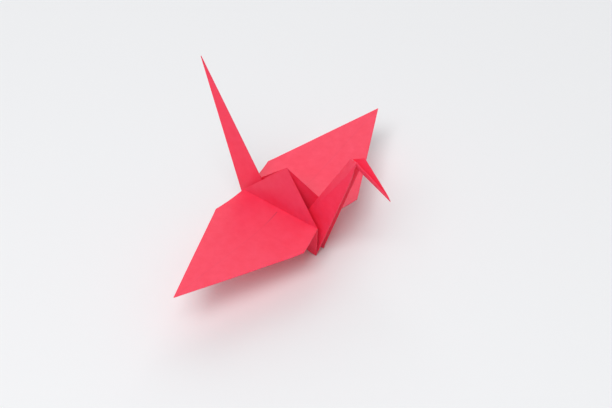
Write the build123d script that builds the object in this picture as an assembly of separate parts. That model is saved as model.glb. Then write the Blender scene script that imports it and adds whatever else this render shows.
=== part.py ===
from build123d import *
import math
import os

# Origami crane, folded from one square of coloured paper.
# The origin is on the surface it stands on, under the middle of its box. +X runs from tail to neck,
# +Y to the crane's left wing and +Z up. All lengths are in millimetres and all angles in degrees.

# ---- driving dimensions ----
paper_side = 150.0  # edge of the square before folding
layer = 0.1  # thickness of one layer of paper
hump_tilt = 14.5  # lean of each face of the hump from upright
side_spread = 4.2  # how far each side swings out towards the neck
foot_gap = 5.0  # width between the two bottom points of the neck, and of the tail
neck_lean = 29.0  # spine of the neck from upright
tail_lean = 28.5  # spine of the tail from upright
head_length = 19.8  # bend of the neck to the tip of the beak
head_turn = 94.0  # change of direction at that bend
head_gap = 3.8  # width between the two halves where they turn into the head
wing_droop = 12.3  # downward slope of a wing where it leaves the body
wing_bend = 18.0  # length of wing, from the fold, over which it curves upwards
right_rise = 6.4  # upward slope of the outer part of the right wing
left_rise = 2.8  # upward slope of the outer part of the left wing
wing_skew = 2.8  # swing of a wing's centre line towards the neck
seam_gap = 0.3  # gap between two raw edges that meet along a centre line

# ---- layers of paper that lie pressed together ----
hump_layers = 1
wing_layers = 2
flap_layers = 2
wall_layers = 3
leg_layers = 4

# ---- the flat folded base, measured from the top of the hump ----
corner = 90.0  # corner of the square, which the folds halve again and again
leg_length = paper_side / math.sqrt(2)  # down to the tip of a leg, before the legs are turned up
leg_run = paper_side / 2  # hinge of the wings down to the tip of a leg
hinge_drop = leg_length - leg_run
wing_top = paper_side - leg_length  # up to the tip of a wing, before it is folded down
leg_taper = math.tan(math.radians(corner / 8))  # half width of a narrowed leg for each millimetre from its tip
wing_taper = math.tan(math.radians(corner / 4))  # half width of a wing for each millimetre from its tip
shoulder = leg_length * leg_taper / (1 + leg_taper)  # depth and half length of the fold at a wing's root
wide_drop = (leg_length * leg_taper - wing_top * wing_taper) / (leg_taper + wing_taper)
wide_half = leg_taper * (leg_length - wide_drop)  # half width of a wing at its widest
wide_run = shoulder - wide_drop  # root of a wing to its widest place
wing_run = shoulder + wing_top  # root of a wing to its tip

UP = Vector(0, 0, 1)
FAR = 4 * paper_side  # longer than anything here
OVERLAP = 0.05  # how far neighbouring plates run into each other
POINT_LIMIT = 1.5  # longest that a sharp corner may stand out, in margins


def lean(angle, side):
    """The direction that leans by an angle from upright towards X (side 1) or away from it (side -1)."""
    a = math.radians(angle)
    return Vector(side * math.sin(a), 0, math.cos(a))


def across(vector, axis):
    """The part of a vector that is square to an axis, as a unit vector."""
    return (vector - axis * vector.dot(axis)).normalized()


def reverse_fold(angle):
    """Where the crease of a leg that is turned up meets the leg's open edge: run along it, and its slope."""
    slope = math.radians(angle / 2)
    run = leg_taper * leg_run / (math.cos(slope) + leg_taper * math.sin(slope))
    return run, slope


def valley(ridge):
    """The valley fold under a ridge of the hump: in the middle plane, half a corner from the ridge."""
    flat = Vector(ridge.X, 0, ridge.Z)
    inside = math.degrees(math.acos(math.cos(math.radians(corner / 2)) / flat.length))
    side = 1 if ridge.X > 0 else -1
    return flat.normalized().rotate(Axis((0, 0, 0), (0, 1, 0)), side * inside)


def right_side_points():
    """The corners of the facets on the crane's right side, measured from the top of the hump."""
    spread = math.radians(side_spread)
    tilt = math.radians(hump_tilt)
    along = Vector(math.cos(spread), -math.sin(spread), 0)
    outward = Vector(-math.sin(spread), -math.cos(spread), 0)
    down = outward * math.sin(tilt) - UP * math.cos(tilt)
    points = {"top": Vector(0, 0, 0)}
    points["shoulder_neck"] = (down + along) * shoulder
    points["shoulder_tail"] = (down - along) * shoulder
    rises = []
    for leg, angle, side in (("neck", neck_lean, 1), ("tail", tail_lean, -1)):
        ridge = points["shoulder_" + leg].normalized()
        fold = valley(ridge)
        run, slope = reverse_fold(angle)
        aside = run * math.cos(slope)
        below = run * math.sin(slope)
        foot = ridge * aside * math.sqrt(2) + fold * (hinge_drop + below - aside)
        points["heel_" + leg] = fold * hinge_drop
        points["foot_" + leg] = Vector(foot.X, -foot_gap / 2, foot.Z)
        rises.append(below)
    middle = (points["foot_neck"] + points["foot_tail"]) / 2
    points["foot_middle"] = middle + UP * (sum(rises) / len(rises))
    points["tail_tip"] = points["heel_tail"] + lean(tail_lean, -1) * leg_run
    add_head(points)
    return points


def add_head(points):
    """The bend of the neck: the crease runs from the spine to the open edge, and the head turns about it."""
    spine = lean(neck_lean, 1)
    forward = lean(neck_lean + 90, 1)
    bend = points["heel_neck"] + spine * (leg_run - head_length)
    crease = math.radians(head_turn / 2)
    run = leg_taper * head_length / (math.sin(crease) + leg_taper * math.cos(crease))
    cheek = bend + spine * (run * math.cos(crease)) + forward * (run * math.sin(crease))
    points["bend"] = bend
    points["cheek"] = Vector(cheek.X, -head_gap / 2, cheek.Z)
    points["beak_tip"] = bend + lean(neck_lean + head_turn, 1) * head_length


# ---- facets of the right side: corner names and the number of layers ----
FACETS = (
    (("top", "shoulder_tail", "shoulder_neck"), hump_layers),
    (("top", "shoulder_neck", "heel_neck"), hump_layers),
    (("shoulder_neck", "foot_neck", "heel_neck"), hump_layers),
    (("top", "heel_tail", "shoulder_tail"), hump_layers),
    (("shoulder_tail", "heel_tail", "foot_tail"), hump_layers),
    (("shoulder_tail", "foot_middle", "shoulder_neck"), wall_layers),
    (("shoulder_neck", "foot_middle", "foot_neck"), wall_layers),
    (("shoulder_tail", "foot_tail", "foot_middle"), wall_layers),
    (("heel_neck", "foot_neck", "cheek"), leg_layers),
    (("heel_neck", "cheek", "bend"), leg_layers),
    (("bend", "cheek", "beak_tip"), leg_layers),
    (("heel_tail", "tail_tip", "foot_tail"), leg_layers),
)
MIRRORED = ("top", "heel_neck", "heel_tail", "bend", "beak_tip", "tail_tip")  # corners in the middle plane


def neighbour_corner(edge, names):
    """The corner across a fold: the third corner of the other facet on this edge, or None at a raw edge."""
    for others, _ in FACETS:
        if edge[0] in others and edge[1] in others and others != names:
            return [name for name in others if name not in edge][0]
    return None


def fold_margin(edge, names, points, half):
    """How far a plate runs past one of its edges, to close the outside of the fold there."""
    if edge[0] in MIRRORED and edge[1] in MIRRORED:
        return half
    beyond = neighbour_corner(edge, names)
    if beyond is None:
        return 0
    start = points[edge[0]]
    line = (points[edge[1]] - start).normalized()
    own = [name for name in names if name not in edge][0]
    here = across(points[own] - start, line)
    there = across(points[beyond] - start, line)
    turn = math.radians(180 - here.get_angle(there))
    return max(OVERLAP, half * min(1, math.tan(turn / 2)))


def plate(corners, margins, low, high):
    """A flat plate on an outline whose edges move out by their margins, between two heights above it."""
    normal = (corners[1] - corners[0]).cross(corners[2] - corners[0]).normalized()
    moved = []
    for i, corner in enumerate(corners):
        before = (corner - corners[i - 1]).normalized()
        after = (corners[(i + 1) % len(corners)] - corner).normalized()
        sine = before.cross(after).dot(normal)
        shift = (before * margins[i] - after * margins[i - 1]) / sine
        longest = POINT_LIMIT * max(margins[i], margins[i - 1])
        if shift.length > longest:  # a sharp corner is blunted, as folded paper is
            shift = shift.normalized() * longest
        moved.append(corner + shift + normal * low)
    face = Face(Wire.make_polygon(moved, close=True))
    return Solid.extrude(face, normal * (high - low))


def facet_plate(names, layers, points):
    half = layers * layer / 2
    edges = [(names[i], names[(i + 1) % len(names)]) for i in range(len(names))]
    margins = [fold_margin(edge, names, points, half) for edge in edges]
    return plate([points[name] for name in names], margins, -half, half)


def wall_flaps(points):
    """The narrowed edges of the legs, folded over the outside of the wall up to its centre line."""
    wall = [points[name] for name in ("shoulder_tail", "foot_middle", "shoulder_neck")]
    normal = (wall[1] - wall[0]).cross(wall[2] - wall[0]).normalized()
    middle = (wall[0] + wall[2]) / 2
    drop = (points["foot_middle"] - middle).normalized()
    low = wall_layers * layer / 2 - OVERLAP
    high = (wall_layers / 2 + flap_layers) * layer
    flaps = []
    for end in ("neck", "tail"):
        along = (points["shoulder_" + end] - middle).normalized()
        seam = along * (seam_gap / 2)
        upper = middle + along * (wide_half - wide_run)
        meeting = middle + drop * (wide_half - wide_run) + seam
        bottom = points["foot_middle"] + seam
        inner = [points["shoulder_" + end], upper, meeting, bottom]
        outer = [points["shoulder_" + end], bottom, points["foot_" + end]]
        for corners in (inner, outer):
            side = (corners[1] - corners[0]).cross(corners[2] - corners[0])
            ordered = corners if side.dot(normal) > 0 else corners[::-1]
            flaps.append(plate(ordered, [0] * len(ordered), low, high))
    return flaps


def right_body(points):
    """Hump, gussets, wall, neck, head and tail on the right side of the middle plane."""
    plates = [facet_plate(names, layers, points) for names, layers in FACETS]
    body = plates[0].fuse(*plates[1:], *wall_flaps(points))
    side = Pos(0, -FAR / 2, 0) * Box(FAR, FAR, FAR)
    return body & side


def arc_point(centre, radius, angle):
    """The point of a circle in a wing's section, at an angle from straight down, turning outwards."""
    a = math.radians(angle)
    return Vector(centre.X + radius * math.sin(a), centre.Y - radius * math.cos(a))


def wing_section(low, high, rise):
    """A strip between two heights above the wing's middle: an arc that leaves the body, then a straight."""
    radius = wing_bend / math.radians(wing_droop + rise)
    centre = Vector(radius * math.sin(math.radians(wing_droop)), radius * math.cos(math.radians(wing_droop)))
    start = -wing_droop - math.degrees(wall_layers * layer / radius)
    outer = Vector(math.cos(math.radians(rise)), math.sin(math.radians(rise))) * wing_run
    ends = []
    arcs = []
    for height in (low, high):
        steps = [arc_point(centre, radius - height, angle) for angle in (start, (start + rise) / 2, rise)]
        arcs.append(ThreePointArc(*steps))
        ends.append((steps[0], steps[2], steps[2] + outer))
    bottom, top = ends
    edges = [arcs[0], Line(bottom[1], bottom[2]), Line(bottom[2], top[2])]
    edges += [Line(top[2], top[1]), arcs[1], Line(top[0], bottom[0])]
    return Face(Wire(edges))


def wing_reach(out, rise):
    """How far out from the body a point of the bent wing lies, seen from above."""
    droop = math.radians(wing_droop)
    slope = math.radians(rise)
    radius = wing_bend / (droop + slope)
    if out > wing_bend:
        return radius * (math.sin(slope) + math.sin(droop)) + (out - wing_bend) * math.cos(slope)
    return radius * (math.sin(out / radius - droop) + math.sin(droop))


def wing(points, side, rise):
    """One wing of two layers, with folded flaps under its root. side is -1 for the right wing, 1 for the left."""
    neck_end, tail_end = (
        Vector(points[name].X, points[name].Y * -side, points[name].Z)
        for name in ("shoulder_neck", "shoulder_tail")
    )
    root = (neck_end + tail_end) / 2
    forward = (neck_end - tail_end).normalized()
    outward = forward.cross(UP) * -side
    skew = math.radians(wing_skew)

    def spot(along, out):
        """A point of the flat wing, swung about the middle of its root, as it lies seen from above."""
        swung = along * math.cos(skew) + out * math.sin(skew)
        reach = wing_reach(out * math.cos(skew) - along * math.sin(skew), rise)
        return root + forward * swung + outward * reach

    def sheet(low, high, corners):
        """The part of the bent wing between two heights above its middle, inside an outline seen from above."""
        plane = Plane(origin=root - forward * paper_side, x_dir=outward, z_dir=outward.cross(UP))
        strip = extrude(plane * wing_section(low, high, rise), amount=2 * paper_side, both=True)
        area = Face(Wire.make_polygon([c - UP * paper_side for c in corners], close=True))
        return strip & Solid.extrude(area, UP * 2 * paper_side)

    under = outward * (wall_layers * layer / 2)  # the wing starts under the outer face of the wall
    neck_root = neck_end - under
    tail_root = tail_end - under
    wide_neck = spot(wide_half, wide_run)
    wide_tail = spot(-wide_half, wide_run)
    half = wing_layers * layer / 2
    gap = seam_gap / 2
    flap_start = forward * (wide_half - wide_run)
    result = sheet(-half, half, (tail_root, neck_root, wide_neck, spot(0, wing_run), wide_tail))
    seam = (root - forward * gap - under, root + forward * gap - under, spot(gap, wing_run), spot(-gap, wing_run))
    result = result - sheet(-half - OVERLAP, 0, seam)
    for flap in ((root + flap_start, neck_root, wide_neck), (root - flap_start, tail_root, wide_tail)):
        result = result + sheet(-half - flap_layers * layer, OVERLAP - half, flap)
    return result


def folded_sheet():
    points = right_side_points()
    right = right_body(points)
    left = mirror(right, about=Plane.XZ)
    right_wing = wing(points, -1, right_rise)
    left_wing = wing(points, 1, left_rise)
    crane = right + left + right_wing + left_wing
    box = crane.bounding_box()
    return Pos(-box.center().X, -box.center().Y, -box.min.Z) * crane


def main():
    os.makedirs("parts", exist_ok=True)
    export_step(folded_sheet(), "parts/folded_sheet.step")


main()
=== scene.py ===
import math

import bpy
from mathutils import Matrix, Vector, noise


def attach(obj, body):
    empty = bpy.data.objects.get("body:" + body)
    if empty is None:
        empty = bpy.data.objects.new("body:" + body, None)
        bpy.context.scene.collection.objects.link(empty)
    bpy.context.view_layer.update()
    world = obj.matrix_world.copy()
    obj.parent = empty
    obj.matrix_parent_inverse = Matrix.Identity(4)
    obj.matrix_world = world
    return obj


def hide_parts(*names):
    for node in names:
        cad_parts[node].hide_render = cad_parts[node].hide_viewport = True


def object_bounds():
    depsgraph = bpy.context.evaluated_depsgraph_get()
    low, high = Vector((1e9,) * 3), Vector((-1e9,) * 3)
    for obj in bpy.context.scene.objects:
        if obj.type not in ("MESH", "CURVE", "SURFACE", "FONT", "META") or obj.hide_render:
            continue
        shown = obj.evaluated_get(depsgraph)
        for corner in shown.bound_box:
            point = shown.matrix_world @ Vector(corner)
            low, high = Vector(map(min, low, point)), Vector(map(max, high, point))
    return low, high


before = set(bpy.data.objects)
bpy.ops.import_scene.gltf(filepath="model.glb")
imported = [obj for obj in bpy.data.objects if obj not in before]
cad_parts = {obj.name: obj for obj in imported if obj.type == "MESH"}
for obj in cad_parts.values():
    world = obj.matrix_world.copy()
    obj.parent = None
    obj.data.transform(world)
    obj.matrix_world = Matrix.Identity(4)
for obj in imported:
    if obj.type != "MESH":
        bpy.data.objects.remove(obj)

CAD_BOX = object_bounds()

# Metres throughout. +X runs from tail to neck, +Y to the left wing and +Z up.
HUMP_TOP = Vector((-0.00387, -0.00010, 0.03448))  # peak of the crane's back
SHOULDER_TAIL = Vector((-0.01787, 0.00311, -0.01704))  # tail end of the left wing's fold, from the peak
SHOULDER_NECK = Vector((0.01723, 0.00568, -0.01704))  # neck end of that fold, from the peak
NEAR_CHEEK = Vector((0.02833, -0.00200, 0.05281))  # where the head's crease meets the neck's right edge
BEND = Vector((0.02392, -0.00010, 0.05171))  # where the neck's spine turns into the head's closed edge
BEAK_TIP = Vector((0.04052, -0.00010, 0.04093))
WING_ROOT = 0.0060  # distance of the wings' folds from the middle plane

# Camera: looks down at the crane from in front of its right side.
CAMERA_AZIMUTH = math.radians(34.83)  # from looking along +Y, turned towards looking along -X
CAMERA_ELEVATION = math.radians(42.04)
CAMERA_ROLL = math.radians(-0.54)
CAMERA_DISTANCE = 0.53708
CAMERA_ASIDE = 0.00702  # how far the camera's axis passes right of the hump's top
CAMERA_BELOW = 0.01318  # how far it passes below it
LENS_WIDTHS = 1477.3 / 612  # focal length in picture widths
SENSOR_WIDTH = 36.0

# Mesh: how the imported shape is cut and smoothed
MERGE_DISTANCE = 0.000005
CELL = 0.0025  # spacing of the cuts that let the flat faces bend
LEVEL_LIMIT = 0.7  # a face lies level when its normal points up or down by more than this
SMOOTH_ANGLE = math.radians(12)  # folds sharper than this stay crisp

# Paper: how it gives after the folding
FACE_BULGE = 0.0012  # how far the hump's faces swell outwards
FACE_DEPTH = 0.0004  # the swell takes the paper within this distance of the hump's faces
SWELL_PEAK = 6.75  # brings the swell to about 1 in the middle of a face
WAVE = 0.00022  # height of the soft waves in the wings
WAVE_TURNS = 38.0  # waves for each metre
WAVE_START = 0.012  # the waves reach their height this far out from the wings' folds
CHEEK_SHIFT = Vector((-0.0009, 0, 0))  # the right half of the neck is pulled back where it meets the head
CHEEK_REACH = 0.007
HEAD_SAG = 0.0011  # how far the head's closed edge sags open
HEAD_TAPER = math.tan(math.radians(11.25))  # depth of the head for each metre from the beak's tip
SAG_FROM, SAG_TO = 0.02, 1.05  # stretch that sags, in shares of the closed edge, from the bend
SAG_EDGE = 0.0006  # paper this far below the closed edge's line still sags with it
SAG_START = 0.25  # share of the closed edge over which the sag sets in
SAG_LOSS = 0.45  # how much of the sag is lost at the beak's tip
TIP_DEPTH = 0.1  # the least depth of the head, as a share of its depth at the bend

# Painted shade along the crease in the middle of each wing
CREASE_BACK = 0.0041  # how far tailward of X = 0 it would meet the middle plane
CREASE_SLANT = 0.024  # how much further tailward it runs for each metre outwards
CREASE_HALF_WIDTH = 0.0004
CREASE_ROOT = 0.0062  # it starts this far from the middle plane, just outside the wings' folds
FADE_FROM, FADE_TO = 0.007, 0.016  # where the line starts to fade and where it is faint
CREASE_DARK, CREASE_FAINT = 0.55, 0.08  # its strength before and after

FLOOR_SIZE = 6
ROOM_LIGHT = 0.35


def linear(hex_colour):
    """An sRGB hex colour as linear values with alpha."""
    channels = [int(hex_colour[i : i + 2], 16) / 255 for i in (1, 3, 5)]
    return [c / 12.92 if c <= 0.04045 else ((c + 0.055) / 1.055) ** 2.4 for c in channels] + [1.0]


def add_node(tree, kind, links=None, **settings):
    """One node with its settings; links maps an input's name or number to an output socket or a value."""
    node = tree.nodes.new(kind)
    for name, value in settings.items():
        setattr(node, name, value)
    for key, value in (links or {}).items():
        if isinstance(value, bpy.types.NodeSocket):
            tree.links.new(value, node.inputs[key])
        else:
            node.inputs[key].default_value = value
    return node


def new_material(name):
    material = bpy.data.materials.new(name)
    material.use_nodes = True
    tree = material.node_tree
    tree.nodes.clear()
    return material, tree


def wing_crease(tree, place):
    """How strongly painted shade darkens the square's first fold along each wing, clearest near the body."""
    parts = add_node(tree, "ShaderNodeSeparateXYZ", {"Vector": place}).outputs
    out = add_node(tree, "ShaderNodeMath", {0: parts["Y"]}, operation="ABSOLUTE").outputs["Value"]
    line = {0: out, 1: CREASE_SLANT, 2: CREASE_BACK}
    back = add_node(tree, "ShaderNodeMath", line, operation="MULTIPLY_ADD").outputs["Value"]
    aside = add_node(tree, "ShaderNodeMath", {0: parts["X"], 1: back}, operation="ADD").outputs["Value"]
    away = add_node(tree, "ShaderNodeMath", {0: aside}, operation="ABSOLUTE").outputs["Value"]
    near = {"Value": away, "From Min": 0.0, "From Max": CREASE_HALF_WIDTH, "To Min": 1.0, "To Max": 0.0}
    crease = add_node(tree, "ShaderNodeMapRange", near, interpolation_type="SMOOTHSTEP").outputs["Result"]
    fade = {"Value": out, "From Min": FADE_FROM, "From Max": FADE_TO}
    fade.update({"To Min": CREASE_DARK, "To Max": CREASE_FAINT})
    shade_fade = add_node(tree, "ShaderNodeMapRange", fade, interpolation_type="SMOOTHSTEP").outputs["Result"]
    start = {0: out, 1: CREASE_ROOT}
    clear = add_node(tree, "ShaderNodeMath", start, operation="GREATER_THAN").outputs["Value"]
    strength = add_node(tree, "ShaderNodeMath", {0: shade_fade, 1: clear}, operation="MULTIPLY").outputs["Value"]
    return add_node(tree, "ShaderNodeMath", {0: crease, 1: strength}, operation="MULTIPLY").outputs["Value"]


def craft_paper():
    """Coral red craft paper, dyed in the pulp and uncoated: dull, thin enough to glow, softly mottled."""
    material, tree = new_material("craft_paper_uncoated")
    place = add_node(tree, "ShaderNodeTexCoord").outputs["Object"]
    # cloudy fibre flocks about 3 mm across
    grain = {"Vector": place, "Scale": 330.0, "Detail": 4.0, "Roughness": 0.6}
    flocks = add_node(tree, "ShaderNodeTexNoise", grain).outputs["Fac"]
    reds = {"Factor": flocks, "A": linear("#f51d46"), "B": linear("#ff4265")}
    colour = add_node(tree, "ShaderNodeMix", reds, data_type="RGBA").outputs["Result"]
    # painted shade: the colour is made darker along the crease, where shade falls in the fold
    crease_shade = {"Factor": wing_crease(tree, place), "A": colour, "B": linear("#c81f45")}
    colour = add_node(tree, "ShaderNodeMix", crease_shade, data_type="RGBA").outputs["Result"]
    # tooth of the surface, about 0.3 mm from bump to bump
    tooth = add_node(tree, "ShaderNodeTexNoise", {"Vector": place, "Scale": 3300.0, "Detail": 2.0})
    rough = {"Height": tooth.outputs["Fac"], "Strength": 0.15, "Distance": 0.00005}
    bump = add_node(tree, "ShaderNodeBump", rough)
    shader = add_node(
        tree,
        "ShaderNodeBsdfPrincipled",
        {
            "Base Color": colour,
            "Roughness": 0.5,
            "IOR": 1.5,
            "Specular IOR Level": 0.5,
            "Subsurface Weight": 0.35,
            "Subsurface Radius": (1.0, 0.12, 0.2),
            "Subsurface Scale": 0.0004,
            "Normal": bump.outputs["Normal"],
        },
    )
    add_node(tree, "ShaderNodeOutputMaterial", {"Surface": shader.outputs["BSDF"]})
    return material


def floor_material():
    """A plain pale table top."""
    material, tree = new_material("pale_table_matt")
    matt = {"Base Color": linear("#f1f2f4"), "Roughness": 0.9, "Specular IOR Level": 0.0}
    shader = add_node(tree, "ShaderNodeBsdfPrincipled", matt)
    add_node(tree, "ShaderNodeOutputMaterial", {"Surface": shader.outputs["BSDF"]})
    return material


def floor():
    bpy.ops.mesh.primitive_plane_add(size=FLOOR_SIZE, location=(0, 0, 0))
    table = bpy.context.object
    table.name = "table"
    table.data.materials.append(floor_material())


def cut_across(piece, axis, level=None):
    """Cuts the faces that lie level, those that stand, or all, by evenly spaced planes square to one axis."""
    for face in piece.data.polygons:
        face.select = level is None or (abs(face.normal.z) > LEVEL_LIMIT) == level
    bpy.ops.object.mode_set(mode="EDIT")
    bpy.ops.mesh.select_mode(type="FACE")
    bpy.ops.mesh.hide(unselected=True)
    normal = [0, 0, 0]
    normal[axis] = 1
    low, high = CAD_BOX[0][axis], CAD_BOX[1][axis]
    for step in range(1, math.ceil((high - low) / CELL)):
        place = [0, 0, 0]
        place[axis] = low + step * CELL
        bpy.ops.mesh.select_all(action="SELECT")
        bpy.ops.mesh.bisect(plane_co=place, plane_no=normal)
    bpy.ops.mesh.reveal(select=False)
    bpy.ops.object.mode_set(mode="OBJECT")


def hump_swell(point):
    """How much of the full bulge a point of a hump face takes: none on its folds, all in its middle."""
    from_top = point - HUMP_TOP
    half = -SHOULDER_TAIL.z
    down = -from_top.z / half
    if not 0 < down < 1:
        return 0.0
    wide = SHOULDER_NECK - SHOULDER_TAIL
    outward = SHOULDER_TAIL.y + wide.y * (from_top.x - SHOULDER_TAIL.x * down) / (wide.x * down)
    if abs(abs(from_top.y) - outward * down) > FACE_DEPTH:
        return 0.0
    tailward = (from_top.x - SHOULDER_TAIL.x * down) / half
    neckward = (SHOULDER_NECK.x * down - from_top.x) / half
    if tailward < 0 or neckward < 0:
        return 0.0
    return SWELL_PEAK * tailward * neckward * (1 - down)


def head_sag(point):
    """How much and which way a point of the head sags: most on its closed edge, none on its open edges."""
    axis = BEAK_TIP - BEND
    along = (point - BEND).dot(axis) / axis.length_squared
    upward = Vector((-axis.z, 0, axis.x)).normalized()
    above = (point - BEND).dot(upward)
    if not SAG_FROM < along < SAG_TO or above < -SAG_EDGE:
        return Vector((0, 0, 0))
    depth = HEAD_TAPER * axis.length * max(TIP_DEPTH, 1 - along)
    share = min(1.0, max(0.0, 1 - above / depth))
    share = share * min(1.0, along / SAG_START) * (1 - SAG_LOSS * min(1.0, along))
    return upward * -share


def settle(point):
    """A point's place after the paper has given a little."""
    moved = Vector(point)
    moved.y += math.copysign(FACE_BULGE, point.y) * hump_swell(point)
    ramp = min(1.0, max(0.0, (abs(point.y) - WING_ROOT) / WAVE_START))
    moved.z += WAVE * ramp * noise.noise(Vector((point.x, point.y, 0)) * WAVE_TURNS)
    moved += HEAD_SAG * head_sag(point)
    if point.y < 0:
        near = math.exp(-((point - NEAR_CHEEK).length / CHEEK_REACH) ** 2)
        moved += CHEEK_SHIFT * near * min(1.0, point.y / NEAR_CHEEK.y)
    return moved


def folded_paper(paper):
    """The crane as one piece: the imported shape, cut finely enough to bend, then relaxed."""
    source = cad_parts["folded_sheet"]
    piece = bpy.data.objects.new("folded_paper", source.data.copy())
    bpy.context.collection.objects.link(piece)
    bpy.context.view_layer.objects.active = piece
    piece.select_set(True)
    bpy.ops.object.mode_set(mode="EDIT")
    bpy.ops.mesh.select_all(action="SELECT")
    bpy.ops.mesh.remove_doubles(threshold=MERGE_DISTANCE)
    bpy.ops.object.mode_set(mode="OBJECT")
    cut_across(piece, 0)
    cut_across(piece, 1, level=True)
    cut_across(piece, 2, level=False)
    for vertex in piece.data.vertices:
        vertex.co = settle(vertex.co)
    bpy.ops.object.shade_smooth_by_angle(angle=SMOOTH_ANGLE)
    evener = piece.modifiers.new("even_shading", "WEIGHTED_NORMAL")
    evener.keep_sharp = True
    bpy.ops.object.modifier_apply(modifier=evener.name)
    piece.data.materials.clear()
    piece.data.materials.append(paper)
    piece.select_set(False)
    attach(piece, "root")
    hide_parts("folded_sheet")


def light(name, energy, size, direction, distance):
    """A square soft box that shines on the crane from a direction given as a vector towards the lamp."""
    lamp = bpy.data.lights.new(name, "AREA")
    lamp.energy = energy
    lamp.size = size
    holder = bpy.data.objects.new(name, lamp)
    towards = Vector(direction).normalized()
    holder.location = towards * distance
    holder.rotation_euler = towards.to_track_quat("Z", "Y").to_euler()
    bpy.context.collection.objects.link(holder)


def lights():
    world = bpy.data.worlds.new("even_room_light")
    world.use_nodes = True
    back = world.node_tree.nodes["Background"]
    back.inputs["Color"].default_value = (1, 1, 1, 1)
    back.inputs["Strength"].default_value = ROOM_LIGHT
    bpy.context.scene.world = world
    # the soft box hangs high, a little towards the camera and its left
    light("soft_box", energy=15.0, size=0.8, direction=(0.19, -0.66, 1.0), distance=1.6)
    # a bright wall beyond the crane, which the tops of the wings reflect
    light("bright_wall", energy=20.0, size=2.2, direction=(-0.57, 0.82, 0.75), distance=2.2)


def camera():
    data = bpy.data.cameras.new("camera")
    data.sensor_width = SENSOR_WIDTH
    data.lens = SENSOR_WIDTH * LENS_WIDTHS
    data.clip_start = 0.01
    look = Vector(
        (
            -math.sin(CAMERA_AZIMUTH) * math.cos(CAMERA_ELEVATION),
            math.cos(CAMERA_AZIMUTH) * math.cos(CAMERA_ELEVATION),
            -math.sin(CAMERA_ELEVATION),
        )
    )
    level = Vector((math.cos(CAMERA_AZIMUTH), math.sin(CAMERA_AZIMUTH), 0))
    above = level.cross(look)
    right = level * math.cos(CAMERA_ROLL) + above * math.sin(CAMERA_ROLL)
    up = above * math.cos(CAMERA_ROLL) - level * math.sin(CAMERA_ROLL)
    place = HUMP_TOP + right * CAMERA_ASIDE - up * CAMERA_BELOW - look * CAMERA_DISTANCE
    holder = bpy.data.objects.new("camera", data)
    turn = Matrix((right, up, -look)).transposed()
    holder.matrix_world = Matrix.Translation(place) @ turn.to_4x4()
    bpy.context.collection.objects.link(holder)
    bpy.context.scene.camera = holder


bpy.ops.object.select_all(action="DESELECT")
camera()
lights()
floor()
folded_paper(craft_paper())

bpy.context.scene.view_settings.view_transform = "Standard"
